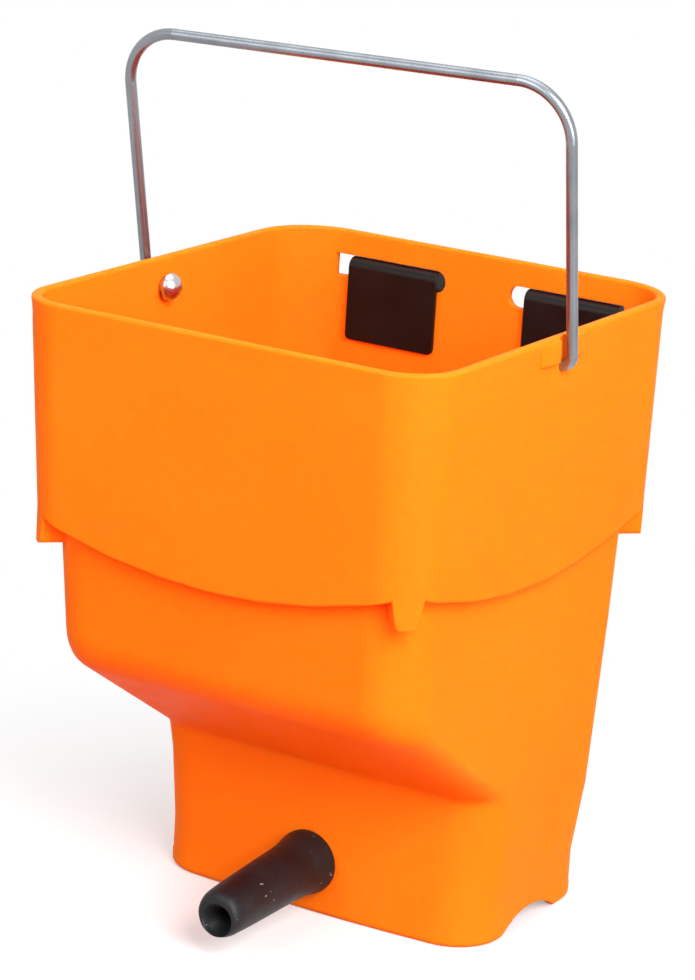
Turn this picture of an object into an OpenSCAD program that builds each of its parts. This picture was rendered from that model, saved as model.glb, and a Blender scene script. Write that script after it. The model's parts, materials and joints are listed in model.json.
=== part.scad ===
// Calf feeder bucket: a thin-walled moulded tub with a wide upper band, a sloping underside
// that runs back to a narrow sump, a rubber teat low on the sump, a wire bail on two pivots
// and two hooks that hang the tub on a rail.
// The teat faces -Y, +X is to the right of someone facing the rear wall, and z = 0 is the ground.

/* [Rim] */
// Width over the rim, left to right
rim_w = 230; // [215:1:250]
// Depth over the rim, front to back
rim_d = 252; // [240:1:270]
// Height of the rim above the ground
rim_z = 314.4; // [308:0.2:330]
// Plan radius of the two front corners of the rim
front_corner_r = 28; // [24:1:34]
// Plan radius of the two rear corners of the rim
rear_corner_r = 35; // [28:1:40]
// How far the rim flares out from the band
flare_out = 0.9; // [0.5:0.1:1.2]
// Height of the flare
flare_h = 12; // [10:0.5:13]
// Thickness of the wall at the rim
rim_t = 5; // [4.4:0.1:5.4]
// Rounding of the rim's two edges
rim_round = 1.6; // [0.8:0.1:2]
// Thickness of the moulded wall
wall = 3.2; // [2.6:0.1:3.6]

/* [Upper band] */
// Height of the band's lower edge at the middle of each side
step_z = 191.5; // [186:0.5:196]
// How much higher the band's lower edge would be at a square corner
step_rise = 20; // [14:1:22]
// How far the lower body lies inside the band at the sides and the rear
step_in = 7.6; // [6.5:0.1:9]
// How far the lower body lies inside the band at the front
front_step_in = 8.4; // [6.5:0.1:9.5]
// Draft of the band's side walls between the rim and the step
band_side_draft = 4.2; // [2.5:0.1:5]
// Draft of the band's front wall between the rim and the step
band_front_draft = 5.7; // [4:0.1:7]
// Draft of the band's rear wall between the rim and the step
band_rear_draft = 2.6; // [1:0.1:3.5]
// Width of a corner nesting lug where it leaves the band
lug_top_w = 16.4; // [13:0.2:18]
// Width of a corner nesting lug at its foot
lug_foot_w = 10.2; // [8:0.2:11]
// Height of the front nesting lugs' feet above the band's lower edge at the middle of each side
front_lug_rise = 2.6; // [-3:0.1:6]
// Height of the rear nesting lugs' feet above the same edge
rear_lug_rise = -1.1; // [-3:0.1:6]

/* [Lower body] */
// Height where the front wall would meet the slope
shoulder_z = 136; // [132:0.2:144]
// Draft of the front wall between the step and the slope
shoulder_in = 7.4; // [5:0.2:9]
// Rounding of the edge between the front wall and the slope
shoulder_r = 28; // [16:1:30]
// Height where the slope would meet the sump's front wall
crease_z = 78.2; // [74:0.2:86]
// Rounding of the crease between the slope and the sump
crease_r = 7; // [5:1:14]
// Plan radius of the lower body's corners below the step
waist_corner_r = 25; // [20:1:28]
// Plan radius of the front corners along the slope
slope_corner_r = 21; // [14:1:24]

/* [Sump and foot] */
// How far the sump's front corners lie in front of the rim's middle
sump_front = 12.1; // [6:0.1:14]
// How far the sump's front wall bows forward at its middle
sump_bow = 2.5; // [1:0.5:7]
// Height where the side and rear walls turn in towards the sump
sump_z = 62; // [56:1:66]
// Draft of the lower body's side walls between the step and that height
sump_side_draft = 4.5; // [3:0.1:9]
// Draft of the lower body's rear wall between the step and that height
sump_rear_draft = 5.4; // [3:0.1:8]
// Height where the foot starts
foot_z = 25; // [21:1:32]
// How far the side and rear walls draw in from there to the foot
foot_draft = 3.5; // [2:0.1:5]
// Height of the raised band round the foot
foot_band_h = 6.5; // [5:0.1:8]
// How far the raised band stands out
foot_band_out = 0.3; // [0.2:0.1:0.8]
// Plan radius of the sump's corners
sump_corner_r = 26; // [18:1:28]
// Thickness of the foot ring
foot_t = 4.8; // [4.4:0.1:5.5]
// Rounding of the foot ring's outer edge
foot_r = 2.8; // [1.5:0.1:3]
// Height of the floor's underside above the ground
floor_z = 8; // [7.5:0.1:9]
// Height of the arch under each side wall
arch_h = 9.5; // [6:0.1:10]
// Length of the arch under each side wall
arch_l = 58; // [48:1:60]
// How far the arch's middle lies behind the rim's middle
arch_y = 44; // [42:1:48]

/* [Bail] */
// Diameter of the bail wire
wire_d = 5.5; // [5:0.1:6]
// Height of the pivots below the rim
pivot_drop = 14.4; // [13:0.1:16]
// How far the pivots lie in front of the rim's middle
pivot_front = 3.7; // [0:0.1:6]
// Gap between a leg of the bail and the detent lugs it swings past
leg_gap = 0.35; // [0.3:0.05:2]
// How far each leg leans out between its pivot and the grip
leg_lean = 2; // [0:0.5:5]
// Length of the left leg, from the pivot to the grip
left_leg = 131.2; // [128:0.1:134]
// Length of the right leg, from the pivot to the grip
right_leg = 136.3; // [131:0.1:139]
// Bend radius at the left end of the grip, at the wire's middle
left_bend_r = 28; // [20:1:36]
// Bend radius at the right end of the grip, at the wire's middle
right_bend_r = 26; // [20:1:36]
// Bend radius at the foot of each leg, at the wire's middle
foot_bend_r = 5.4; // [4.5:0.1:5.5]
// Angle of the bail, forward from upright
bail_tilt = 11; // [0:1:20]
// Width of the notch between a pair of detent lugs
notch_w = 12; // [10:0.5:14]
// Length of a detent lug along the rim
detent_l = 16; // [12:0.5:20]
// Length of the ramp at a detent lug's far end
detent_ramp = 6; // [3:0.5:9]
// How far a detent lug stands out from the rim
detent_out = 1.4; // [0.6:0.1:2.2]
// Diameter of a pivot's domed cap
cap_d = 14; // [12:0.5:16]
// Height of a pivot's domed cap above its collar
cap_h = 6.4; // [5:0.1:7]
// Diameter of the collar between a cap and the wall
collar_d = 9; // [8:0.1:10]
// Length of that collar
collar_l = 2.8; // [1:0.1:3.4]

/* [Rail hooks] */
// Width of a hook, as a share of half the rear wall's straight width
hook_share = 0.65; // [0.58:0.01:0.66]
// Diameter of a hook's barrel
barrel_d = 10.4; // [9.8:0.1:10.4]
// Height of the barrel's middle below the rim
barrel_drop = 18.4; // [17.5:0.1:20]
// Gap between the left hook's barrel and the round end of its slot
left_hook_gap = 4; // [4:0.1:8]
// Gap between the right hook's barrel and the round end of its slot
right_hook_gap = 11; // [4:0.1:11.5]
// Thickness of a hook's inner plate
plate_t = 2.6; // [2.2:0.1:2.7]
// Length of a hook's inner plate, from the barrel's middle
plate_l = 38; // [30:1:44]
// Rounding of the inner plate's lower corners
plate_r = 2.6; // [2:0.1:6]
// Gap between the rear wall and a hook's outer lip
rail_gap = 31; // [26:1:33]
// Thickness of a hook's arm and outer lip
arm_t = 4; // [3:0.1:4.5]
// Length of a hook's outer lip, from the barrel's middle
hook_lip_l = 36; // [28:1:42]
// Inner bend radius between a hook's arm and its outer lip
arm_bend_r = 5; // [3:0.5:8]
// Height of the slots in the rear wall
slot_h = 11.6; // [11.6:0.1:12.4]
// How far a slot's round end lies from the middle of the pair, as a share of half the wall's straight width
slot_in_share = 0.23; // [0.2:0.0025:0.24]
// How far a slot's square end lies from the middle of the pair, as a share of the same
slot_out_share = 1.0525; // [1.05:0.0025:1.09]
// How far the middle of the pair lies to the left of the tub's middle, as a share of the same
slot_shift_share = 0.0275; // [0:0.0025:0.03]

/* [Teat] */
// Height of the teat's axis above the ground
teat_z = 27.2; // [25:0.2:30]
// Length of the teat outside the tub
teat_l = 82.5; // [74:0.5:90]
// Diameter of the teat's seat flange
flange_d = 33; // [31:0.2:36]
// Length of the flange
flange_l = 6; // [5.5:0.5:10]
// Diameter of the teat's body next to the flange
body_d = 27; // [25.6:0.2:28]
// Diameter of the teat's body at its tip
tip_d = 23.8; // [22:0.2:25]
// Rounding of the tip
tip_r = 4; // [3:0.2:4.4]
// Diameter of the milk channel
channel_d = 9; // [7:0.2:10]
// Diameter of the hollow mouth at the tip
mouth_d = 15; // [12:0.2:15.6]
// Depth of the hollow mouth
mouth_l = 9; // [6:0.5:12]
// Diameter of the neck that passes through the sump's wall
neck_d = 22; // [20:0.5:23]
// Diameter of the barb that holds the teat from inside
barb_d = 24.4; // [23.4:0.1:25]
// Length of the barb inside the tub
barb_l = 8; // [6:0.5:12]

/* [Hidden] */
$fn = 64;
corner_steps = 9;
side_steps = 5;
arc_steps = 5;
flare_steps = 3;

// Overrun of every cut past the faces it cuts
overrun = 2;
// Clearance of the wire in its pivot bores
pivot_clearance = 0.08;
// Clearance between pieces that move past each other
swing_clearance = 0.3;
// Clearance of the rubber neck in its hole
neck_clearance = 0.1;
// Clearance of the wire's ends in their caps
cap_clearance = 0.05;
// Gap bridged by a tie between a straight run of wire and a bend
tie_gap = 0.1;
// How much wider than the wire a tie is
tie_swell = 0.03;
// Rounding of the band's lower edge
step_round = 1.8;
// Rounding of the corner between the step and the lower body
step_fillet = 2;
// Thickness of a cap's brim below its dome
cap_brim = 1;
// How far the wire's ends reach into their caps and collars
cap_grip = 6;
// Diameter of the flat seat round the teat hole
seat_d = 30;
// Rounding of a nesting lug's corners
lug_round = 2.4;
// How far a nesting lug's root reaches into the wall behind it
lug_root_share = 0.8;
// How much thicker the seat is than the wall, on each face
seat_proud = 0.4;
// Rounding of the flange's edge
flange_round = 3.6;
// Length over which the flange runs down to the body
flange_flare = 17;
// Inside rounding where the walls meet the floor
floor_round = 1.4;

wire_r = wire_d / 2;
barrel_r = barrel_d / 2;
pivot_y = -pivot_front;
pivot_z = rim_z - pivot_drop;
barrel_z = rim_z - barrel_drop;
floor_top = floor_z + wall;
flare_z = rim_z - flare_h;

// Half width and the front and rear places of the band under the flare, at the step and of the
// lower body under the step
band_x = rim_w / 2 - flare_out;
band_y = rim_d / 2 - flare_out;
step_x = band_x - band_side_draft;
step_front = band_y - band_front_draft;
step_rear = band_y - band_rear_draft;
waist_x = step_x - step_in;
waist_front = step_front - front_step_in;
waist_rear = step_rear - step_in;
shoulder_front = waist_front - shoulder_in;
// Half width and rear place of the sump and of the foot
sump_x = waist_x - sump_side_draft;
sump_rear = waist_rear - sump_rear_draft;
foot_x = sump_x - foot_draft;
foot_rear = sump_rear - foot_draft;

// Inner edge of the rim, and how far down the inside of the band a height lies
rim_in = rim_t - flare_out;
function inside_share(z) = (rim_z - rim_round - z) / (rim_z - rim_round - step_z - wall);
// Inner faces of the band's side walls and rear wall at height z
function inside_x(z) = lerp(band_x - rim_in, step_x - wall, inside_share(z));
function inside_rear(z) = lerp(band_y - rim_in, step_rear - wall, inside_share(z));

// Middle of the hooks' barrels, which leaves their plates just clear of the rear wall
barrel_y = inside_rear(barrel_z - plate_l) - swing_clearance - plate_t + barrel_r;
// Half the straight width of the rear wall, and the places of the slots and the hooks along it
flat_x = rim_w / 2 - rear_corner_r;
slot_in = slot_in_share * flat_x;
slot_out = slot_out_share * flat_x;
slot_mid = -slot_shift_share * flat_x;
hook_w = hook_share * flat_x;
// Places of the bail's legs at the pivots and at the grip
leg_x = rim_w / 2 + detent_out + leg_gap + wire_r;
grip_x = leg_x + leg_lean;
// Middle of the whole part, front to back, which the frame's origin lies under
frame_y = (band_y + rail_gap + arm_t - rim_d / 2) / 2;

// Slope of the underside and the shift that keeps its wall at full thickness
slope_a = atan2(shoulder_z - crease_z, shoulder_front - sump_front);
slope_shift = wall / cos(slope_a) - wall * tan(slope_a);

module placed() {
    translate([0, -frame_y, 0]) children();
}

function lerp(a, b, t) = a + (b - a) * t;
function unit(v) = v / norm(v);

// The arc that rounds the corner p1 of the outline p0, p1, p2
function fillet(p0, p1, p2, r) =
    let (u = unit(p0 - p1), w = unit(p2 - p1))
    let (half = acos(u * w) / 2)
    let (c = p1 + unit(u + w) * r / sin(half))
    let (s = p1 + u * r / tan(half) - c)
    let (e = p1 + w * r / tan(half) - c)
    let (a = atan2(s.y, s.x))
    let (turn = (atan2(e.y, e.x) - a + 540) % 360 - 180)
    [for (i = [0 : arc_steps]) c + r * [cos(a + turn * i / arc_steps), sin(a + turn * i / arc_steps)]];

// Half width, rear place, corner radii and front bow of the lower body at height z
function body_x(z) = lookup(z, [[foot_z, foot_x], [sump_z, sump_x], [step_z, waist_x]]);
function body_rear(z) = lookup(z, [[foot_z, foot_rear], [sump_z, sump_rear], [step_z, waist_rear]]);
function body_rear_r(z) = lookup(z, [[sump_z, sump_corner_r], [step_z, waist_corner_r]]);
function body_front_r(z) = lookup(z, [[sump_z, sump_corner_r], [crease_z, slope_corner_r],
    [shoulder_z - shoulder_r, slope_corner_r], [shoulder_z + shoulder_r / 2, waist_corner_r]]);
function body_bow(z) = lookup(z, [[sump_z, sump_bow], [(crease_z + shoulder_z) / 2, 0]]);

function corner_arc(x, y, r, a) =
    [for (i = [0 : corner_steps]) let (t = a + 90 * i / corner_steps) [x + r * cos(t), y + r * sin(t)]];
function side_points(p, q) = [for (i = [1 : side_steps]) lerp(p, q, i / (side_steps + 1))];

// Rounded rectangle, from the front right corner anticlockwise
function plan(hx, front, rear, fr, rr) =
    let (a = corner_arc(hx - fr, -front + fr, fr, -90))
    let (b = corner_arc(hx - rr, rear - rr, rr, 0))
    let (c = corner_arc(-hx + rr, rear - rr, rr, 90))
    let (d = corner_arc(-hx + fr, -front + fr, fr, 180))
    let (last = corner_steps)
    concat(a, side_points(a[last], b[0]), b, side_points(b[last], c[0]),
        c, side_points(c[last], d[0]), d, side_points(d[last], a[0]));

// One closed section of the tub: a rounded rectangle whose front may bow forward and whose
// height may rise towards the corners
function ring(hx, front, rear, fr, rr, z, bow = 0, rise = 0) =
    let (mid = (rear - front) / 2, half = (rear + front) / 2)
    [for (p = plan(hx, front, rear, fr, rr))
        let (in_bow = p.y < -front + fr && abs(p.x) < hx - fr)
        let (b = in_bow ? bow * (1 - (p.x / (hx - fr))^2) : 0)
        let (near = min(abs(p.x) / hx, abs(p.y - mid) / half))
        [p.x, p.y - b, z + rise * near^2]];

// Section of the lower body at height z whose front lies at y, drawn in all round by inset
function body_ring(y, z, inset = 0, at = undef, rise = 0) =
    let (h = is_undef(at) ? z : at)
    ring(body_x(h) - inset, -y - inset, body_rear(h) - inset, body_front_r(h) - inset,
        body_rear_r(h) - inset, z, body_bow(h), rise);

// Section of the band, t of the way from the rim down to the step, drawn in by inset
function band_ring(t, z, inset = 0, rise = 0) =
    ring(band_x - band_side_draft * t - inset, band_y - band_front_draft * t - inset,
        band_y - band_rear_draft * t - inset, lerp(front_corner_r, waist_corner_r, t) - flare_out - inset,
        lerp(rear_corner_r, waist_corner_r, t) - flare_out - inset, z, 0, rise);

// Front outline of the lower body from the foot to the waist, moved by [back, up], with the
// roundings that keep the wall even
function front_outline(back, up, crease, shoulder) =
    let (low = [-sump_front + back, foot_r])
    let (turn = [-sump_front + back, crease_z + up])
    let (edge = [-shoulder_front + back, shoulder_z + up])
    let (top = [-waist_front + back, step_z])
    concat(fillet(low, turn, edge, crease), fillet(turn, edge, top, shoulder));

outer_outline = front_outline(0, 0, crease_r, shoulder_r);
inner_outline = front_outline(wall, slope_shift, crease_r + wall, shoulder_r - wall);

// The tub as one run of sections: up the foot and the outside, over the rim, and down the inside
foot_sections = concat(
    [body_ring(-sump_front, floor_z, foot_t, foot_z), body_ring(-sump_front, 0, foot_t, foot_z)],
    [for (i = [0 : arc_steps]) let (a = 90 * i / arc_steps)
        body_ring(-sump_front, foot_r * (1 - cos(a)), foot_r * (1 - sin(a)) - foot_band_out, foot_z)],
    [body_ring(-sump_front, foot_band_h, -foot_band_out, foot_z),
        body_ring(-sump_front, foot_band_h + foot_band_out, 0, foot_z),
        body_ring(-sump_front, foot_z), body_ring(-sump_front, sump_z)]);
outer_sections = [for (p = outer_outline) body_ring(p.x, p.y)];
band_sections = concat(
    [for (a = [0 : 45 : 90])
        body_ring(-waist_front, step_z - step_fillet * (1 - sin(a)), -step_fillet * (1 - cos(a)),
            step_z, step_rise)],
    [for (a = [0 : 45 : 90])
        band_ring(1, step_z + step_round * (1 - cos(a)), step_round * (1 - sin(a)), step_rise)],
    [for (i = [0 : flare_steps]) let (t = i / flare_steps)
        band_ring(0, flare_z + (flare_h - rim_round) * t, -flare_out * t^2)],
    [for (a = [30 : 30 : 90])
        band_ring(0, rim_z - rim_round * (1 - sin(a)), rim_round * (1 - cos(a)) - flare_out)],
    [for (a = [90 : -30 : 0])
        band_ring(0, rim_z - rim_round * (1 - sin(a)), rim_in - rim_round * (1 - cos(a)))],
    [band_ring(1, step_z + wall, wall, step_rise),
        body_ring(-waist_front, step_z + wall, wall, step_z, step_rise)]);
inner_sections = [for (i = [len(inner_outline) - 1 : -1 : 0])
    let (p = inner_outline[i]) body_ring(p.x - wall, p.y, wall)];
floor_sections = [
    body_ring(-sump_front, sump_z, wall),
    body_ring(-sump_front, foot_z, wall),
    body_ring(-sump_front, floor_top + floor_round, wall, foot_z),
    body_ring(-sump_front, floor_top, wall + floor_round, foot_z)];

tub_sections = concat(foot_sections, outer_sections, band_sections, inner_sections, floor_sections);

// Solid through a run of closed sections
module loft(sections) {
    n = len(sections[0]);
    last = len(sections) - 1;
    walls = [for (i = [0 : last - 1], j = [0 : n - 1])
        let (k = (j + 1) % n, low = i * n, high = low + n)
        each [[low + j, high + j, high + k], [low + j, high + k, low + k]]];
    start = [for (j = [0 : n - 1]) j];
    end = [for (j = [n - 1 : -1 : 0]) last * n + j];
    polyhedron(points = [for (s = sections) each s], faces = concat([start], walls, [end]));
}

// A nesting lug under each corner of the band: the corner's own outer face carried down, and tied
// back into the wall of the lower body
module nesting_lugs() {
    lug_r = waist_corner_r - flare_out;
    for (side = [-1, 1], way = [-1, 1]) {
        y = way < 0 ? lug_r - step_front : step_rear - lug_r;
        gap = way < 0 ? front_step_in : step_in;
        rise = way < 0 ? front_lug_rise : rear_lug_rise;
        root = lug_r - (step_in + gap) / sqrt(2) - wall * lug_root_share;
        lug_h = step_rise - rise;
        edge_h = step_rise * (1 - lug_r * (1 - sqrt(1 / 2)) / step_x)^2 - rise + step_round;
        foot = [lug_foot_w / 2, 0];
        neck = [lug_top_w / 2, edge_h];
        brow = [lug_top_w / 2 + lug_round, edge_h];
        half = concat(fillet([-foot.x, 0], foot, neck, lug_round), fillet(foot, neck, brow, lug_round),
            [brow, [brow.x, lug_h]]);
        outline = concat(half, [for (i = [len(half) - 1 : -1 : 0]) [-half[i].x, half[i].y]]);
        translate([side * (step_x - lug_r), y, step_z + rise])
            intersection() {
                cylinder(r = lug_r, h = lug_h);
                rotate([90, 0, atan2(way, side) + 90])
                    translate([0, 0, root])
                        linear_extrude(lug_r - root + overrun)
                            polygon(outline);
            }
    }
}

// A pair of detent lugs on the rim, either side of the notch where the wire stands
module detent_lugs(side) {
    root = side * (band_x - wall / 2);
    rim = side * rim_w / 2;
    face = rim + side * detent_out;
    for (way = [-1, 1])
        translate([0, pivot_y + way * notch_w / 2, flare_z])
            linear_extrude(flare_h - rim_round)
                polygon([[root, 0], [face, 0], [face, way * (detent_l - detent_ramp)], [rim, way * detent_l],
                    [root, way * detent_l]]);
}

// The gap in the flared rim between a pair of detent lugs
module rim_notch(side) {
    translate([side > 0 ? band_x : -rim_w, pivot_y - notch_w / 2, flare_z])
        cube([rim_w - band_x, notch_w, flare_h + overrun]);
}

// A slot in the rear wall: round at its inner end, square at its outer end
module hook_slot(side) {
    round_x = slot_in + slot_h / 2;
    depth = step_in + wall + 2 * overrun;
    translate([slot_mid + side * round_x, band_y + overrun, barrel_z])
        rotate([90, 0, 0])
            cylinder(d = slot_h, h = depth);
    left_x = slot_mid + (side > 0 ? round_x : -slot_out);
    translate([left_x, band_y + overrun - depth, barrel_z - slot_h / 2])
        cube([slot_out - round_x, depth, slot_h]);
}

// Flat seat for the teat, on both faces of the bowed front wall
seat_y = -sump_front - sump_bow - seat_proud;
seat_t = wall + 2 * seat_proud;
module teat_seat() {
    translate([0, seat_y, teat_z])
        rotate([-90, 0, 0])
            cylinder(d = seat_d, h = seat_t);
}

module teat_hole() {
    translate([0, seat_y - overrun, teat_z])
        rotate([-90, 0, 0])
            cylinder(d = neck_d + 2 * neck_clearance, h = seat_t + 2 * overrun);
}

// Shallow arch under both side walls, which leaves four feet
module foot_arches() {
    arch_r = (arch_l^2 / 4 + arch_h^2) / (2 * arch_h);
    for (side = [-1, 1])
        translate([side * (foot_x - foot_t), arch_y, arch_h - arch_r])
            rotate([0, side * 90, 0])
                cylinder(r = arch_r, h = foot_t + overrun, $fn = 128);
}

module bucket_body() {
    color("darkorange")
        placed() difference() {
            union() {
                difference() {
                    loft(tub_sections);
                    for (side = [-1, 1]) rim_notch(side);
                }
                nesting_lugs();
                for (side = [-1, 1]) detent_lugs(side);
                teat_seat();
            }
            translate([0, pivot_y, pivot_z])
                rotate([0, 90, 0])
                    cylinder(r = wire_r + pivot_clearance, h = rim_w, center = true);
            for (side = [-1, 1]) hook_slot(side);
            teat_hole();
            foot_arches();
        }
}

// Round wire along a flat outline with rounded corners: straight runs and bends, tied where they
// meet by a ball a trace wider than the wire
module bent_wire(path, bends, r) {
    last = len(path) - 1;
    function heading(i) = let (d = path[i + 1] - path[i]) atan2(d.y, d.x);
    function turn(i) = (heading(i) - heading(i - 1) + 540) % 360 - 180;
    function trim(i) = i == 0 || i == last ? 0 : bends[i - 1] * tan(abs(turn(i)) / 2);
    for (i = [0 : last - 1]) {
        start = trim(i) + (i == 0 ? 0 : tie_gap);
        end = norm(path[i + 1] - path[i]) - trim(i + 1) - (i == last - 1 ? 0 : tie_gap);
        translate(path[i])
            rotate([0, 0, heading(i)])
                translate([start, 0, 0])
                    rotate([0, 90, 0])
                        cylinder(r = r, h = end - start);
    }
    for (i = [1 : last - 1]) {
        hand = sign(turn(i));
        bend = bends[i - 1];
        tie_a = tie_gap / bend * 180 / PI;
        sweep = abs(turn(i));
        translate(path[i])
            rotate([0, 0, heading(i - 1)])
                translate([-trim(i), hand * bend, 0])
                    rotate([0, 0, hand > 0 ? -90 : 90 - sweep]) {
                        rotate([0, 0, tie_a])
                            rotate_extrude(angle = sweep - 2 * tie_a)
                                translate([bend, 0])
                                    circle(r = r);
                        for (a = [0, sweep])
                            rotate([0, 0, a])
                                translate([bend, 0, 0])
                                    sphere(r = r + tie_swell);
                    }
    }
}

// Inner face of a side wall under the cap's collar, less the gap that lets the collar turn
cap_x = inside_x(pivot_z - collar_d / 2) - swing_clearance;
pin_x = cap_x - cap_grip;

module bail_handle() {
    path = [[-pin_x, 0], [-leg_x, 0], [-grip_x, left_leg], [grip_x, right_leg], [leg_x, 0], [pin_x, 0]];
    color("silver")
        placed() translate([0, pivot_y, pivot_z])
            rotate([90 + bail_tilt, 0, 0])
                bent_wire(path, [foot_bend_r, left_bend_r, right_bend_r, foot_bend_r], wire_r);
}

// Domed cap pushed on the wire's end inside the tub, on a collar that holds it off the wall
module pivot_cap(side) {
    dome_h = cap_h - cap_brim;
    dome_r = ((cap_d / 2)^2 + dome_h^2) / (2 * dome_h);
    translate([side * cap_x, pivot_y, pivot_z])
        rotate([0, -side * 90, 0])
            difference() {
                union() {
                    cylinder(d = collar_d, h = collar_l + cap_brim);
                    translate([0, 0, collar_l])
                        cylinder(d = cap_d, h = cap_brim);
                    translate([0, 0, collar_l])
                        intersection() {
                            translate([0, 0, cap_h - dome_r])
                                sphere(r = dome_r);
                            cylinder(d = cap_d, h = cap_h);
                        }
                }
                translate([0, 0, -overrun])
                    cylinder(r = wire_r + cap_clearance, h = cap_grip + overrun);
            }
}

module pivot_cap_left() {
    color("gainsboro") placed() pivot_cap(-1);
}

module pivot_cap_right() {
    color("gainsboro") placed() pivot_cap(1);
}

// A hook whose left end lies at x: barrel in the slot, plate inside, arm and lip outside
module gate_hook(x) {
    bend_y = band_y + rail_gap - arm_bend_r - barrel_y;
    bend_z = -arm_bend_r;
    translate([x, barrel_y, barrel_z]) {
        rotate([0, 90, 0])
            cylinder(d = barrel_d, h = hook_w);
        translate([0, -barrel_r, -plate_l + plate_r])
            cube([hook_w, plate_t, plate_l - plate_r]);
        translate([plate_r, -barrel_r, -plate_l])
            cube([hook_w - 2 * plate_r, plate_t, plate_r]);
        for (end = [plate_r, hook_w - plate_r])
            translate([end, -barrel_r, -plate_l + plate_r])
                rotate([-90, 0, 0])
                    cylinder(r = plate_r, h = plate_t);
        cube([hook_w, bend_y, arm_t]);
        translate([hook_w, bend_y, bend_z])
            rotate([0, -90, 0])
                rotate_extrude(angle = 90)
                    translate([arm_bend_r, 0])
                        square([arm_t, hook_w]);
        translate([0, bend_y + arm_bend_r, -hook_lip_l + arm_t / 2])
            cube([hook_w, arm_t, bend_z + hook_lip_l - arm_t / 2]);
        translate([0, bend_y + arm_bend_r + arm_t / 2, -hook_lip_l + arm_t / 2])
            rotate([0, 90, 0])
                cylinder(d = arm_t, h = hook_w);
    }
}

module gate_hook_left() {
    color([0.1, 0.1, 0.1]) placed() gate_hook(slot_mid - slot_in - left_hook_gap - hook_w);
}

module gate_hook_right() {
    color([0.1, 0.1, 0.1]) placed() gate_hook(slot_mid + slot_in + right_hook_gap);
}

// Teat: a turned rubber shape, snapped through the sump's wall between its flange and its barb
module teat() {
    flange = fillet([flange_d / 2, 0], [flange_d / 2, flange_l], [body_d / 2, flange_l + flange_flare],
        flange_round);
    tip = fillet([body_d / 2, flange_l + flange_flare], [tip_d / 2, teat_l], [mouth_d / 2, teat_l], tip_r);
    profile = concat(
        [[channel_d / 2, -seat_t - barb_l], [(channel_d + neck_d) / 4, -seat_t - barb_l],
            [barb_d / 2, -seat_t], [neck_d / 2, -seat_t], [neck_d / 2, 0], [flange_d / 2, 0]],
        flange,
        [[body_d / 2, flange_l + flange_flare]],
        tip,
        [[mouth_d / 2, teat_l], [channel_d / 2, teat_l - mouth_l]]);
    color("dimgray")
        placed() translate([0, seat_y, teat_z])
            rotate([90, 0, 0])
                rotate_extrude()
                    polygon(profile);
}

bucket_body();
bail_handle();
pivot_cap_left();
pivot_cap_right();
gate_hook_left();
gate_hook_right();
teat();
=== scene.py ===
import json
import logging
import math
from dataclasses import dataclass, field
from enum import Enum

import bpy
from mathutils import Matrix, Vector

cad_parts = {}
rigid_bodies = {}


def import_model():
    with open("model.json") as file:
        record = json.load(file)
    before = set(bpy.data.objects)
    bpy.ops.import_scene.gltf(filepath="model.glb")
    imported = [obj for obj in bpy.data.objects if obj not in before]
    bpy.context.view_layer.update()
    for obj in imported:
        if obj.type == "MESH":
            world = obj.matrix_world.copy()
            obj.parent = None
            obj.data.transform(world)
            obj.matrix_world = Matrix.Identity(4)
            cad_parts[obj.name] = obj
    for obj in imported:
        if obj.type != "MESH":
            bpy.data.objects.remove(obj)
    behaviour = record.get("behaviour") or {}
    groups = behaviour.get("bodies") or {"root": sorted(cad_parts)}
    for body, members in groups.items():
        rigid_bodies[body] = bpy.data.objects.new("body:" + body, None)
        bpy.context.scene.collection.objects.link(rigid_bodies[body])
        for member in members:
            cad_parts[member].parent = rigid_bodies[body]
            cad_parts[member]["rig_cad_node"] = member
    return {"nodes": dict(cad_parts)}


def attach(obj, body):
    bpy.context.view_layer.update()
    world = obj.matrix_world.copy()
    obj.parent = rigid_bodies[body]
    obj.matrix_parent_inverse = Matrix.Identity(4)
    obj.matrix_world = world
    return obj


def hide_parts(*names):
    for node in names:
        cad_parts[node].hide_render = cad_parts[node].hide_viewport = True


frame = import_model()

log = logging.getLogger("calf_feeder")
MM = 0.001
WHITE = (1.0, 1.0, 1.0, 1.0)
MIX_FIRST, MIX_SECOND, MIX_RESULT = 6, 7, 2  # the colour sockets of a Mix node

Colour = tuple[float, float, float]
Place = tuple[float, float, float]
Span = tuple[float, float]
Socket = bpy.types.NodeSocket


class Body(str, Enum):
    """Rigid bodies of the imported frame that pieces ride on."""

    TUB = "tub"
    BAIL = "bail"
    HOOK_LEFT = "hook_left"
    HOOK_RIGHT = "hook_right"


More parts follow.
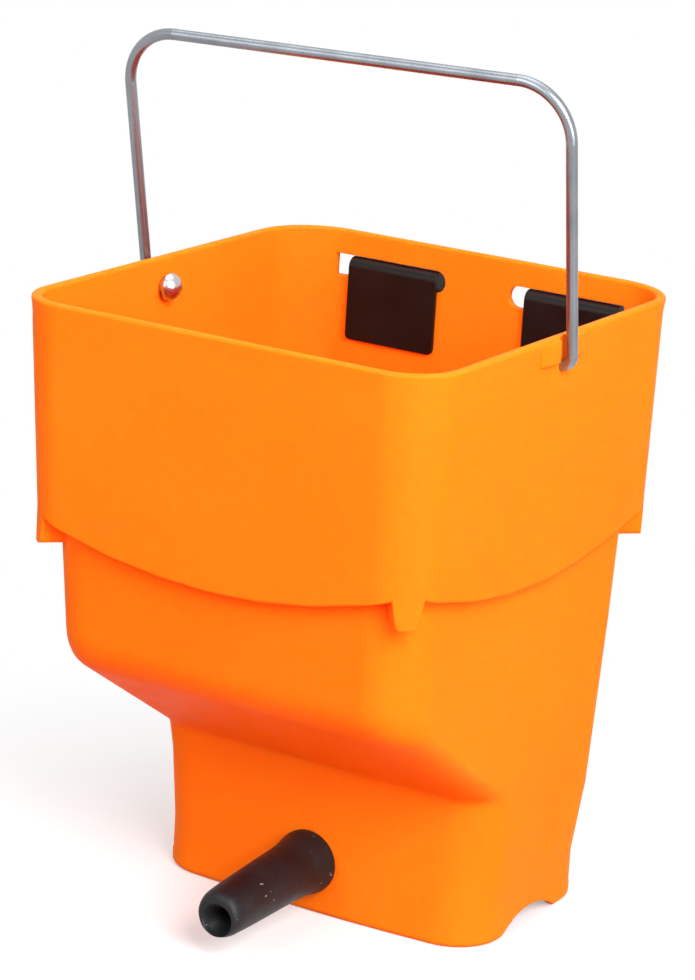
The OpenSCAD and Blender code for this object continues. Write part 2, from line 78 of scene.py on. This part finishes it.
class Graph:
    """A material's node tree, built from its Principled shader outwards."""

    def __init__(self, name: str) -> None:
        """Makes an empty material.

        Args:
            name: The material's name.
        """
        self.material: bpy.types.Material = bpy.data.materials.new(name)
        self.material.use_nodes = True
        self.nodes = self.material.node_tree.nodes
        self.links = self.material.node_tree.links
        self.shader = self.nodes["Principled BSDF"]
        self.place = self.node("ShaderNodeTexCoord").outputs["Object"]

    def node(self, kind: str, **values: object) -> bpy.types.Node:
        """Adds a node.

        Args:
            kind: The node's type.
            values: Properties of the node.

        Returns:
            The new node.
        """
        made = self.nodes.new(kind)
        for name, value in values.items():
            setattr(made, name, value)
        return made

    def noise(self, scale: float, detail: float = 3.0, rough: float = 0.5,
              stretch: Place = (1.0, 1.0, 1.0)) -> Socket:
        """Adds a noise pattern on Object coordinates.

        Args:
            scale: Cells to the metre.
            detail: Octaves of finer noise.
            rough: Weight of the finer noise.
            stretch: Scale of the pattern along each axis.

        Returns:
            The pattern's value.
        """
        mapping = self.node("ShaderNodeMapping")
        mapping.inputs["Scale"].default_value = stretch
        self.links.new(self.place, mapping.inputs["Vector"])
        made = self.node("ShaderNodeTexNoise")
        made.inputs["Scale"].default_value = scale
        made.inputs["Detail"].default_value = detail
        made.inputs["Roughness"].default_value = rough
        self.links.new(mapping.outputs["Vector"], made.inputs["Vector"])
        return made.outputs["Fac"]

    def spread(self, value: Socket, result: Span = (0.0, 1.0), pattern: Span = (0.3, 0.7)) -> Socket:
        """Maps a pattern onto a range.

        Args:
            value: The pattern.
            result: Results at the two ends of the pattern's range.
            pattern: The pattern's range.

        Returns:
            The mapped value.
        """
        made = self.node("ShaderNodeMapRange")
        made.inputs["From Min"].default_value = pattern[0]
        made.inputs["From Max"].default_value = pattern[1]
        made.inputs["To Min"].default_value = result[0]
        made.inputs["To Max"].default_value = result[1]
        self.links.new(value, made.inputs["Value"])
        return made.outputs["Result"]

    def mix(self, share: Socket, first: Colour | Socket, second: Colour) -> Socket:
        """Mixes two colours.

        Args:
            share: How much of the second colour shows.
            first: The first colour, or the socket that gives it.
            second: The second colour.

        Returns:
            The mixed colour.
        """
        made = self.node("ShaderNodeMix", data_type="RGBA")
        self.links.new(share, made.inputs["Factor"])
        if isinstance(first, Socket):
            self.links.new(first, made.inputs[MIX_FIRST])
        else:
            made.inputs[MIX_FIRST].default_value = (*first, 1.0)
        made.inputs[MIX_SECOND].default_value = (*second, 1.0)
        return made.outputs[MIX_RESULT]

    def bump(self, height: Socket, depth: float, under: Socket | None = None) -> Socket:
        """Adds relief.

        Args:
            height: The relief's pattern.
            depth: Its depth in metres.
            under: Relief that this one lies on.

        Returns:
            The bent normal.
        """
        made = self.node("ShaderNodeBump")
        made.inputs["Distance"].default_value = depth
        self.links.new(height, made.inputs["Height"])
        if under is not None:
            self.links.new(under, made.inputs["Normal"])
        return made.outputs["Normal"]

    def eased(self, width: float, samples: int) -> Socket:
        """Adds a normal that runs softly over sharp edges.

        Args:
            width: Width of the softened edge in metres.
            samples: Directions that are averaged.

        Returns:
            The soft normal.
        """
        made = self.node("ShaderNodeBevel", samples=samples)
        made.inputs["Radius"].default_value = width
        return made.outputs["Normal"]

    def set(self, **sockets: object) -> None:
        """Sets or links the shader's sockets.

        Args:
            sockets: A value or a socket for each, named with underscores for spaces.
        """
        for name, value in sockets.items():
            socket = self.shader.inputs[name.replace("_", " ")]
            if isinstance(value, Socket):
                self.links.new(value, socket)
            else:
                socket.default_value = value


@dataclass(frozen=True)
class MouldedOrange:
    """Satin injection-moulded polypropylene, a little uneven in colour and gloss."""

    base: Colour = (1.0, 0.188, 0.0055)
    pale: Colour = (1.0, 0.208, 0.0075)
    cloud_scale: float = 7.0
    gloss_scale: float = 60.0
    roughness: Span = (0.44, 0.56)
    grain_scale: float = 1400.0
    grain_depth: float = 0.02 * MM
    sag_scale: float = 11.0
    sag_depth: float = 0.5 * MM
    soft_edge: float = 1.3 * MM
    edge_samples: int = 6
    glow: Colour = (1.0, 0.14, 0.02)
    glow_depth: float = 6.0 * MM
    glow_share: float = 0.6
    ior: float = 1.49
    shine: float = 0.04

    def material(self) -> bpy.types.Material:
        """Builds the material.

        Returns:
            The tub's material.
        """
        g = Graph("moulded_orange")
        colour = g.mix(g.spread(g.noise(self.cloud_scale, 2.0)), self.base, self.pale)
        edges = g.eased(self.soft_edge, self.edge_samples)
        sag = g.bump(g.noise(self.sag_scale, 1.0), self.sag_depth, edges)
        relief = g.bump(g.noise(self.grain_scale, 2.0), self.grain_depth, sag)
        gloss = g.spread(g.noise(self.gloss_scale, 4.0), self.roughness)
        g.set(Base_Color=colour, Roughness=gloss, Normal=relief)
        g.set(IOR=self.ior, Specular_IOR_Level=self.shine)
        g.set(Subsurface_Weight=self.glow_share, Subsurface_Radius=self.glow, Subsurface_Scale=self.glow_depth)
        return g.material


@dataclass(frozen=True)
class PlatedSteel:
    """Zinc-plated drawn wire."""

    bright: Colour = (0.29, 0.315, 0.345)
    dull: Colour = (0.21, 0.23, 0.255)
    patch_scale: float = 60.0
    roughness: Span = (0.25, 0.33)
    line_scale: float = 700.0
    line_depth: float = 0.001 * MM
    metal: float = 0.9

    def material(self) -> bpy.types.Material:
        """Builds the material.

        Returns:
            The wire's material.
        """
        g = Graph("plated_steel")
        patches = g.noise(self.patch_scale, 3.0, 0.5)
        relief = g.bump(g.noise(self.line_scale, 2.0), self.line_depth)
        g.set(Base_Color=g.mix(g.spread(patches), self.bright, self.dull), Metallic=self.metal)
        g.set(Roughness=g.spread(patches, self.roughness), Normal=relief)
        return g.material


@dataclass(frozen=True)
class PolishedCap:
    """Bright pressed steel."""

    bright: Colour = (0.58, 0.58, 0.60)
    dull: Colour = (0.46, 0.46, 0.48)
    mark_scale: float = 420.0
    mark_depth: float = 0.004 * MM
    roughness: Span = (0.22, 0.30)

    def material(self) -> bpy.types.Material:
        """Builds the material.

        Returns:
            The cap's material.
        """
        g = Graph("polished_cap")
        marks = g.noise(self.mark_scale, 4.0)
        g.set(Base_Color=g.mix(g.spread(marks), self.bright, self.dull), Metallic=1.0)
        g.set(Roughness=g.spread(marks, self.roughness), Normal=g.bump(marks, self.mark_depth))
        return g.material


@dataclass(frozen=True)
class HookBlack:
    """Black moulded plastic with a fine grain and a slight sheen."""

    base: Colour = (0.003, 0.0016, 0.0014)
    worn: Colour = (0.006, 0.0034, 0.003)
    cloud_scale: float = 40.0
    grain_scale: float = 2200.0
    grain_depth: float = 0.03 * MM
    roughness: Span = (0.34, 0.48)
    shine: float = 0.18

    def material(self) -> bpy.types.Material:
        """Builds the material.

        Returns:
            The hook's material.
        """
        g = Graph("hook_black")
        cloud = g.noise(self.cloud_scale, 4.0)
        relief = g.bump(g.noise(self.grain_scale, 2.0), self.grain_depth)
        g.set(Base_Color=g.mix(g.spread(cloud), self.base, self.worn), Normal=relief)
        g.set(Roughness=g.spread(cloud, self.roughness), Specular_IOR_Level=self.shine)
        return g.material


@dataclass(frozen=True)
class TeatRubber:
    """Soft black rubber with a dusty bloom and a few pale scuffs."""

    base: Colour = (0.0040, 0.0042, 0.0054)
    bloom: Colour = (0.0100, 0.0105, 0.0125)
    scuff: Colour = (0.30, 0.28, 0.27)
    cloud_scale: float = 70.0
    cloud_range: Span = (0.4, 0.75)
    cloud_depth: float = 0.6 * MM
    fleck_scale: float = 520.0
    fleck_stretch: Place = (1.0, 0.4, 1.0)
    fleck_range: Span = (0.735, 0.775)
    fleck_share: Span = (0.0, 0.9)
    pore_scale: float = 1800.0
    pore_depth: float = 0.03 * MM
    roughness: Span = (0.42, 0.58)
    shine: float = 0.27

    def material(self) -> bpy.types.Material:
        """Builds the material.

        Returns:
            The teat's material.
        """
        g = Graph("teat_rubber")
        cloud = g.noise(self.cloud_scale, 5.0, 0.6)
        flecks = g.noise(self.fleck_scale, 2.0, 0.5, self.fleck_stretch)
        dusty = g.mix(g.spread(cloud, pattern=self.cloud_range), self.base, self.bloom)
        colour = g.mix(g.spread(flecks, self.fleck_share, self.fleck_range), dusty, self.scuff)
        dents = g.bump(cloud, self.cloud_depth)
        relief = g.bump(g.noise(self.pore_scale, 2.0), self.pore_depth, dents)
        g.set(Base_Color=colour, Roughness=g.spread(cloud, self.roughness))
        g.set(Specular_IOR_Level=self.shine, Normal=relief)
        return g.material


def take_only(piece: bpy.types.Object) -> None:
    """Makes one object the whole selection.

    Args:
        piece: The object that the next operators act on.
    """
    bpy.ops.object.select_all(action="DESELECT")
    piece.select_set(True)
    bpy.context.view_layer.objects.active = piece


def copy_node(node: str, name: str, body: Body, weld: float = 0.005 * MM) -> bpy.types.Object:
    """Copies a CAD node as a piece that stands for it, with its loose triangles joined.

    Args:
        node: The CAD node.
        name: The new piece's name.
        body: The body that the piece rides on.
        weld: Distance below which points are one.

    Returns:
        The new piece.
    """
    take_only(frame["nodes"][node])
    bpy.ops.object.duplicate()
    piece = bpy.context.view_layer.objects.active
    piece.name = name
    del piece["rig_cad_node"]
    bpy.ops.mesh.customdata_custom_splitnormals_clear()
    bpy.ops.object.mode_set(mode="EDIT")
    bpy.ops.mesh.select_all(action="SELECT")
    bpy.ops.mesh.remove_doubles(threshold=weld)
    bpy.ops.object.mode_set(mode="OBJECT")
    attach(piece, body.value)
    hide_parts(node)
    return piece


def join_flats(piece: bpy.types.Object, flat: float = math.radians(0.2)) -> None:
    """Joins a piece's triangles into whole flat faces.

    Args:
        piece: The piece.
        flat: Largest angle between faces that are joined.
    """
    take_only(piece)
    bpy.ops.object.mode_set(mode="EDIT")
    bpy.ops.mesh.select_all(action="SELECT")
    bpy.ops.mesh.dissolve_limited(angle_limit=flat)
    bpy.ops.object.mode_set(mode="OBJECT")


def ease_edges(piece: bpy.types.Object, width: float, steps: int, sharp: float) -> None:
    """Rounds a piece's sharp edges and shades it so that its large faces stay flat.

    Args:
        piece: The piece.
        width: Width of the rounding.
        steps: Facets across the rounding.
        sharp: Smallest angle of an edge that is rounded.
    """
    take_only(piece)
    ease = piece.modifiers.new("eased_edges", "BEVEL")
    ease.width = width
    ease.segments = steps
    ease.limit_method = "ANGLE"
    ease.angle_limit = sharp
    ease.use_clamp_overlap = True
    bpy.ops.object.modifier_apply(modifier=ease.name)
    bpy.ops.object.shade_smooth_by_angle(angle=sharp)
    flats = piece.modifiers.new("flat_faces", "WEIGHTED_NORMAL")
    flats.mode = "FACE_AREA"
    flats.weight = 50
    flats.keep_sharp = True
    bpy.ops.object.modifier_apply(modifier=flats.name)


def shade_round(piece: bpy.types.Object, sharp: float) -> None:
    """Shades a piece smooth.

    Args:
        piece: The piece.
        sharp: Smallest angle of an edge that stays sharp.
    """
    take_only(piece)
    bpy.ops.object.shade_smooth_by_angle(angle=sharp)


def paint(piece: bpy.types.Object, material: bpy.types.Material) -> None:
    """Gives a piece one material all over.

    Args:
        piece: The piece.
        material: Its material.
    """
    piece.data.materials.clear()
    piece.data.materials.append(material)
    for polygon in piece.data.polygons:
        polygon.material_index = 0


@dataclass
class Tub:
    """The moulded tub: the CAD shell with its sharp edges eased."""

    node: str = "bucket_body"
    edge_round: float = 0.7 * MM
    edge_steps: int = 2
    sharp: float = math.radians(52)
    finish: MouldedOrange = field(default_factory=MouldedOrange)

    def build(self) -> bpy.types.Object:
        """Builds and dresses the tub.

        Returns:
            The tub's piece.
        """
        tub = copy_node(self.node, "tub_shell", Body.TUB)
        join_flats(tub)
        ease_edges(tub, self.edge_round, self.edge_steps, self.sharp)
        paint(tub, self.finish.material())
        return tub


@dataclass
class RailHook:
    """One rail hook: the CAD moulding with its edges eased."""

    node: str
    body: Body
    edge_round: float = 0.6 * MM
    edge_steps: int = 3
    sharp: float = math.radians(40)
    finish: HookBlack = field(default_factory=HookBlack)

    def build(self) -> bpy.types.Object:
        """Builds and dresses the hook.

        Returns:
            The hook's piece.
        """
        hook = copy_node(self.node, self.body.value + "_moulding", self.body)
        join_flats(hook)
        ease_edges(hook, self.edge_round, self.edge_steps, self.sharp)
        paint(hook, self.finish.material())
        return hook


@dataclass
class Bail:
    """The bail: the CAD wire shaded round."""

    node: str = "bail_handle"
    sharp: float = math.radians(50)
    finish: PlatedSteel = field(default_factory=PlatedSteel)

    def build(self) -> bpy.types.Object:
        """Builds and dresses the bail.

        Returns:
            The bail's piece.
        """
        wire = copy_node(self.node, "bail_wire", Body.BAIL)
        shade_round(wire, self.sharp)
        paint(wire, self.finish.material())
        return wire


@dataclass
class PivotCap:
    """One push-on cap: the CAD pressing with its dome shaded smooth."""

    node: str
    name: str
    sharp: float = math.radians(60)
    finish: PolishedCap = field(default_factory=PolishedCap)

    def build(self) -> bpy.types.Object:
        """Builds and dresses the cap.

        Returns:
            The cap's piece.
        """
        cap = copy_node(self.node, self.name, Body.BAIL)
        shade_round(cap, self.sharp)
        paint(cap, self.finish.material())
        return cap


@dataclass
class Teat:
    """The rubber teat: rings drawn out of the flange, round the tip and back down the channel.

    Each ring is its distance from the wall, its radius and how far its centre lies below the
    axis, in millimetres.
    """

    node: str = "teat"
    seat: float = -32.05 * MM
    height: float = 27.2 * MM
    length: float = 82.5 * MM
    droop: float = 3.2 * MM
    droop_power: float = 1.3
    sides: int = 64
    dents: float = 1.0 * MM
    dent_size: float = 16.0 * MM
    firm_reach: float = 8.0 * MM
    soft_run: float = 16.0 * MM
    sharp: float = math.radians(50)
    rings: tuple[tuple[float, float, float], ...] = (
        (0.0, 15.8, 0.0), (0.7, 16.4, 0.0), (2.6, 16.5, 0.0), (4.6, 16.3, 0.0), (7.0, 15.8, 0.0),
        (10.0, 15.2, 0.0), (14.0, 14.6, 0.0), (19.0, 14.3, 0.0), (26.0, 14.1, 0.0), (36.0, 13.8, 0.0),
        (47.0, 13.5, 0.0), (58.0, 13.1, 0.0), (68.0, 12.7, 0.0), (75.0, 12.4, 0.0), (78.4, 12.0, 0.0),
        (80.6, 11.3, 0.1), (82.0, 10.3, 0.6), (82.5, 9.3, 1.2), (82.2, 8.5, 1.9), (81.2, 7.8, 2.5),
        (79.6, 7.0, 3.0), (77.6, 6.0, 3.3), (75.4, 4.8, 3.3), (72.5, 3.8, 2.8), (68.0, 3.6, 1.6),
        (60.0, 4.5, 0.3), (40.0, 4.5, 0.0), (10.0, 4.5, 0.0), (-12.0, 4.5, 0.0), (-12.0, 7.75, 0.0),
        (-4.0, 12.2, 0.0), (-4.0, 11.0, 0.0), (0.0, 11.0, 0.0))
    finish: TeatRubber = field(default_factory=TeatRubber)

    def sink(self, reach: float) -> float:
        """Gives how far the axis hangs down at a distance from the wall."""
        return -self.droop * max(0.0, reach / self.length) ** self.droop_power

    def draw_out(self) -> None:
        """Draws each ring of the profile out of the one before."""
        reach, radius, level = 0.0, self.rings[0][1] * MM, 0.0
        for far, wide, drop in self.rings[1:]:
            far, wide = far * MM, wide * MM
            low = self.sink(far) - drop * MM
            bpy.ops.mesh.extrude_region_move(
                TRANSFORM_OT_translate={"value": (0.0, reach - far, low - level)})
            centre = (0.0, self.seat - far, self.height + low)
            bpy.ops.transform.resize(value=(wide / radius, 1.0, wide / radius), center_override=centre)
            reach, radius, level = far, wide, low

    def close(self) -> None:
        """Bridges the last ring to the first, under the flange."""
        bpy.ops.mesh.select_all(action="DESELECT")
        bpy.ops.mesh.select_non_manifold(extend=False, use_wire=False, use_boundary=True,
                                         use_multi_face=False, use_non_contiguous=False, use_verts=False)
        bpy.ops.mesh.bridge_edge_loops()
        bpy.ops.mesh.select_all(action="SELECT")
        bpy.ops.mesh.normals_make_consistent(inside=False)

    def soften(self, teat: bpy.types.Object) -> None:
        """Dents the soft rubber outside the wall and smooths it.

        Args:
            teat: The teat's piece.
        """
        take_only(teat)
        soft = teat.vertex_groups.new(name="soft")
        for vertex in teat.data.vertices:
            past = (self.seat - vertex.co.y - self.firm_reach) / self.soft_run
            soft.add([vertex.index], min(1.0, max(0.0, past)), "REPLACE")
        clouds = bpy.data.textures.new("dents", "CLOUDS")
        clouds.noise_scale = self.dent_size
        dent = teat.modifiers.new("dents", "DISPLACE")
        dent.texture = clouds
        dent.strength = self.dents
        dent.mid_level = 0.5
        dent.vertex_group = soft.name
        dent.texture_coords = "LOCAL"
        bpy.ops.object.modifier_apply(modifier=dent.name)
        fine = teat.modifiers.new("fine", "SUBSURF")
        fine.levels = 1
        fine.render_levels = 1
        bpy.ops.object.modifier_apply(modifier=fine.name)
        bpy.ops.object.shade_smooth_by_angle(angle=self.sharp)

    def build(self) -> bpy.types.Object:
        """Builds and dresses the teat.

        Returns:
            The teat's piece.
        """
        bpy.ops.object.select_all(action="DESELECT")
        bpy.ops.mesh.primitive_circle_add(vertices=self.sides, radius=self.rings[0][1] * MM,
                                          location=(0.0, self.seat, self.height),
                                          rotation=(math.radians(90), 0.0, 0.0))
        teat = bpy.context.view_layer.objects.active
        teat.name = "teat_rubber"
        bpy.ops.object.transform_apply(location=True, rotation=True, scale=True)
        bpy.ops.object.mode_set(mode="EDIT")
        bpy.ops.mesh.select_all(action="SELECT")
        self.draw_out()
        self.close()
        bpy.ops.object.mode_set(mode="OBJECT")
        self.soften(teat)
        paint(teat, self.finish.material())
        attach(teat, Body.TUB.value)
        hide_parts(self.node)
        return teat


@dataclass(frozen=True)
class Lamp:
    """A soft square lamp that faces the object."""

    name: str
    place: Place
    side: float
    watts: float

    def build(self, target: Place) -> None:
        """Sets the lamp up.

        Args:
            target: The point that it faces.
        """
        data = bpy.data.lights.new(self.name, "AREA")
        data.size = self.side
        data.energy = self.watts
        lamp = bpy.data.objects.new(self.name, data)
        lamp.location = self.place
        aim = Vector(target) - Vector(self.place)
        lamp.rotation_euler = aim.to_track_quat("-Z", "Y").to_euler()
        bpy.context.scene.collection.objects.link(lamp)


@dataclass
class Studio:
    """Camera, floor and soft light."""

    image: tuple[int, int] = (695, 980)
    focal_pixels: float = 3568.39
    eye: Place = (0.852290, -1.452691, 0.691924)
    right: Place = (0.84980261, 0.52376158, 0.05923965)
    up: Place = (-0.19259285, 0.20391779, 0.95985704)
    back: Place = (0.49065621, -0.82709815, 0.27416261)
    sensor: float = 36.0
    view_depth: Span = (0.05, 50.0)
    world_light: float = 0.32
    floor_size: float = 12.0
    floor_colour: Colour = (0.92, 0.92, 0.92)
    bounce_colour: Colour = (0.50, 0.15, 0.11)
    fade: Span = (0.13, 0.38)
    least_white: float = 0.35
    target: Place = (0.0, 0.0, 0.2)
    lamps: tuple[Lamp, ...] = (
        Lamp("key", (1.43, -1.00, 1.32), 1.1, 62.0),
        Lamp("fill", (-0.45, -1.75, 1.12), 1.2, 16.0),
        Lamp("side", (1.68, -0.62, 0.25), 0.8, 13.0),
        Lamp("top", (-0.2, 0.1, 2.1), 1.6, 20.0))

    def camera(self) -> None:
        """Sets the camera where the photograph was taken from."""
        data = bpy.data.cameras.new("camera")
        data.sensor_width = self.sensor
        data.lens = self.focal_pixels * self.sensor / max(self.image)
        data.clip_start, data.clip_end = self.view_depth
        camera = bpy.data.objects.new("camera", data)
        turn = Matrix((self.right, self.up, self.back)).transposed().to_4x4()
        camera.matrix_world = Matrix.Translation(self.eye) @ turn
        bpy.context.scene.collection.objects.link(camera)
        bpy.context.scene.camera = camera

    def showing(self, tree: bpy.types.NodeTree) -> Socket:
        """Gives a value that is one for rays that show the backdrop and zero for rays that light.

        Args:
            tree: The node tree that uses the value.

        Returns:
            The value.
        """
        path = tree.nodes.new("ShaderNodeLightPath")
        shown = path.outputs["Is Camera Ray"]
        for ray in ("Is Glossy Ray", "Is Transmission Ray"):
            either = tree.nodes.new("ShaderNodeMath")
            either.operation = "MAXIMUM"
            tree.links.new(shown, either.inputs[0])
            tree.links.new(path.outputs[ray], either.inputs[1])
            shown = either.outputs["Value"]
        return shown

    def whiteness(self, tree: bpy.types.NodeTree) -> Socket:
        """Gives how white the floor shows, which grows away from the object.

        Args:
            tree: The floor's node tree.

        Returns:
            The value.
        """
        place = tree.nodes.new("ShaderNodeTexCoord")
        length = tree.nodes.new("ShaderNodeVectorMath")
        length.operation = "LENGTH"
        fade = tree.nodes.new("ShaderNodeMapRange")
        fade.interpolation_type = "SMOOTHSTEP"
        fade.inputs["From Min"].default_value = self.fade[0]
        fade.inputs["From Max"].default_value = self.fade[1]
        fade.inputs["To Min"].default_value = self.least_white
        tree.links.new(place.outputs["Object"], length.inputs[0])
        tree.links.new(length.outputs["Value"], fade.inputs["Value"])
        return fade.outputs["Result"]

    def blend(self, tree: bpy.types.NodeTree, share: Socket, first: Socket, second: Socket) -> Socket:
        """Mixes two shaders.

        Args:
            tree: The node tree that they are in.
            share: How much of the second shader shows.
            first: The first shader.
            second: The second shader.

        Returns:
            The mixed shader.
        """
        mix = tree.nodes.new("ShaderNodeMixShader")
        for socket, source in zip(mix.inputs, (share, first, second)):
            tree.links.new(source, socket)
        return mix.outputs["Shader"]

    def backdrop(self) -> None:
        """Lights the scene from a pale world that shows white."""
        world = bpy.data.worlds.new("studio")
        bpy.context.scene.world = world
        world.use_nodes = True
        tree = world.node_tree
        light = tree.nodes["Background"]
        light.inputs["Color"].default_value = WHITE
        light.inputs["Strength"].default_value = self.world_light
        seen = tree.nodes.new("ShaderNodeBackground")
        seen.inputs["Color"].default_value = WHITE
        seen.inputs["Strength"].default_value = 1.0
        surface = self.blend(tree, self.showing(tree), light.outputs["Background"], seen.outputs["Background"])
        tree.links.new(surface, tree.nodes["World Output"].inputs["Surface"])

    def floor_finish(self) -> bpy.types.Material:
        """Builds the floor's material: pale to the eye and in reflections, with a warm bounce.

        Returns:
            The material.
        """
        material = bpy.data.materials.new("pale_floor")
        material.use_nodes = True
        tree = material.node_tree
        near = tree.nodes["Principled BSDF"]
        near.inputs["Base Color"].default_value = (*self.floor_colour, 1.0)
        near.inputs["Roughness"].default_value = 1.0
        near.inputs["Specular IOR Level"].default_value = 0.0
        far = tree.nodes.new("ShaderNodeEmission")
        far.inputs["Strength"].default_value = 1.0
        bounce = tree.nodes.new("ShaderNodeBsdfDiffuse")
        bounce.inputs["Color"].default_value = (*self.bounce_colour, 1.0)
        pale = self.blend(tree, self.whiteness(tree), near.outputs["BSDF"], far.outputs["Emission"])
        surface = self.blend(tree, self.showing(tree), bounce.outputs["BSDF"], pale)
        tree.links.new(surface, tree.nodes["Material Output"].inputs["Surface"])
        return material

    def floor(self) -> None:
        """Lays a pale floor that fades to white away from the object and keeps its shadow."""
        bpy.ops.object.select_all(action="DESELECT")
        bpy.ops.mesh.primitive_plane_add(size=self.floor_size)
        floor = bpy.context.view_layer.objects.active
        floor.name = "studio_floor"
        floor.data.materials.append(self.floor_finish())

    def build(self) -> None:
        """Builds the whole studio."""
        bpy.context.scene.view_settings.view_transform = "Standard"
        self.camera()
        self.backdrop()
        self.floor()
        for lamp in self.lamps:
            lamp.build(self.target)


def main() -> None:
    """Builds every piece and the studio."""
    logging.basicConfig(level=logging.INFO)
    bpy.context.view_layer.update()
    assemblies = (
        Tub(),
        RailHook("gate_hook_left", Body.HOOK_LEFT),
        RailHook("gate_hook_right", Body.HOOK_RIGHT),
        Teat(),
        PivotCap("pivot_cap_left", "cap_left"),
        PivotCap("pivot_cap_right", "cap_right"),
        Bail())
    for assembly in assemblies:
        piece = assembly.build()
        log.info("%s: %d faces", piece.name, len(piece.data.polygons))
    Studio().build()


if __name__ == "__main__":
    main()
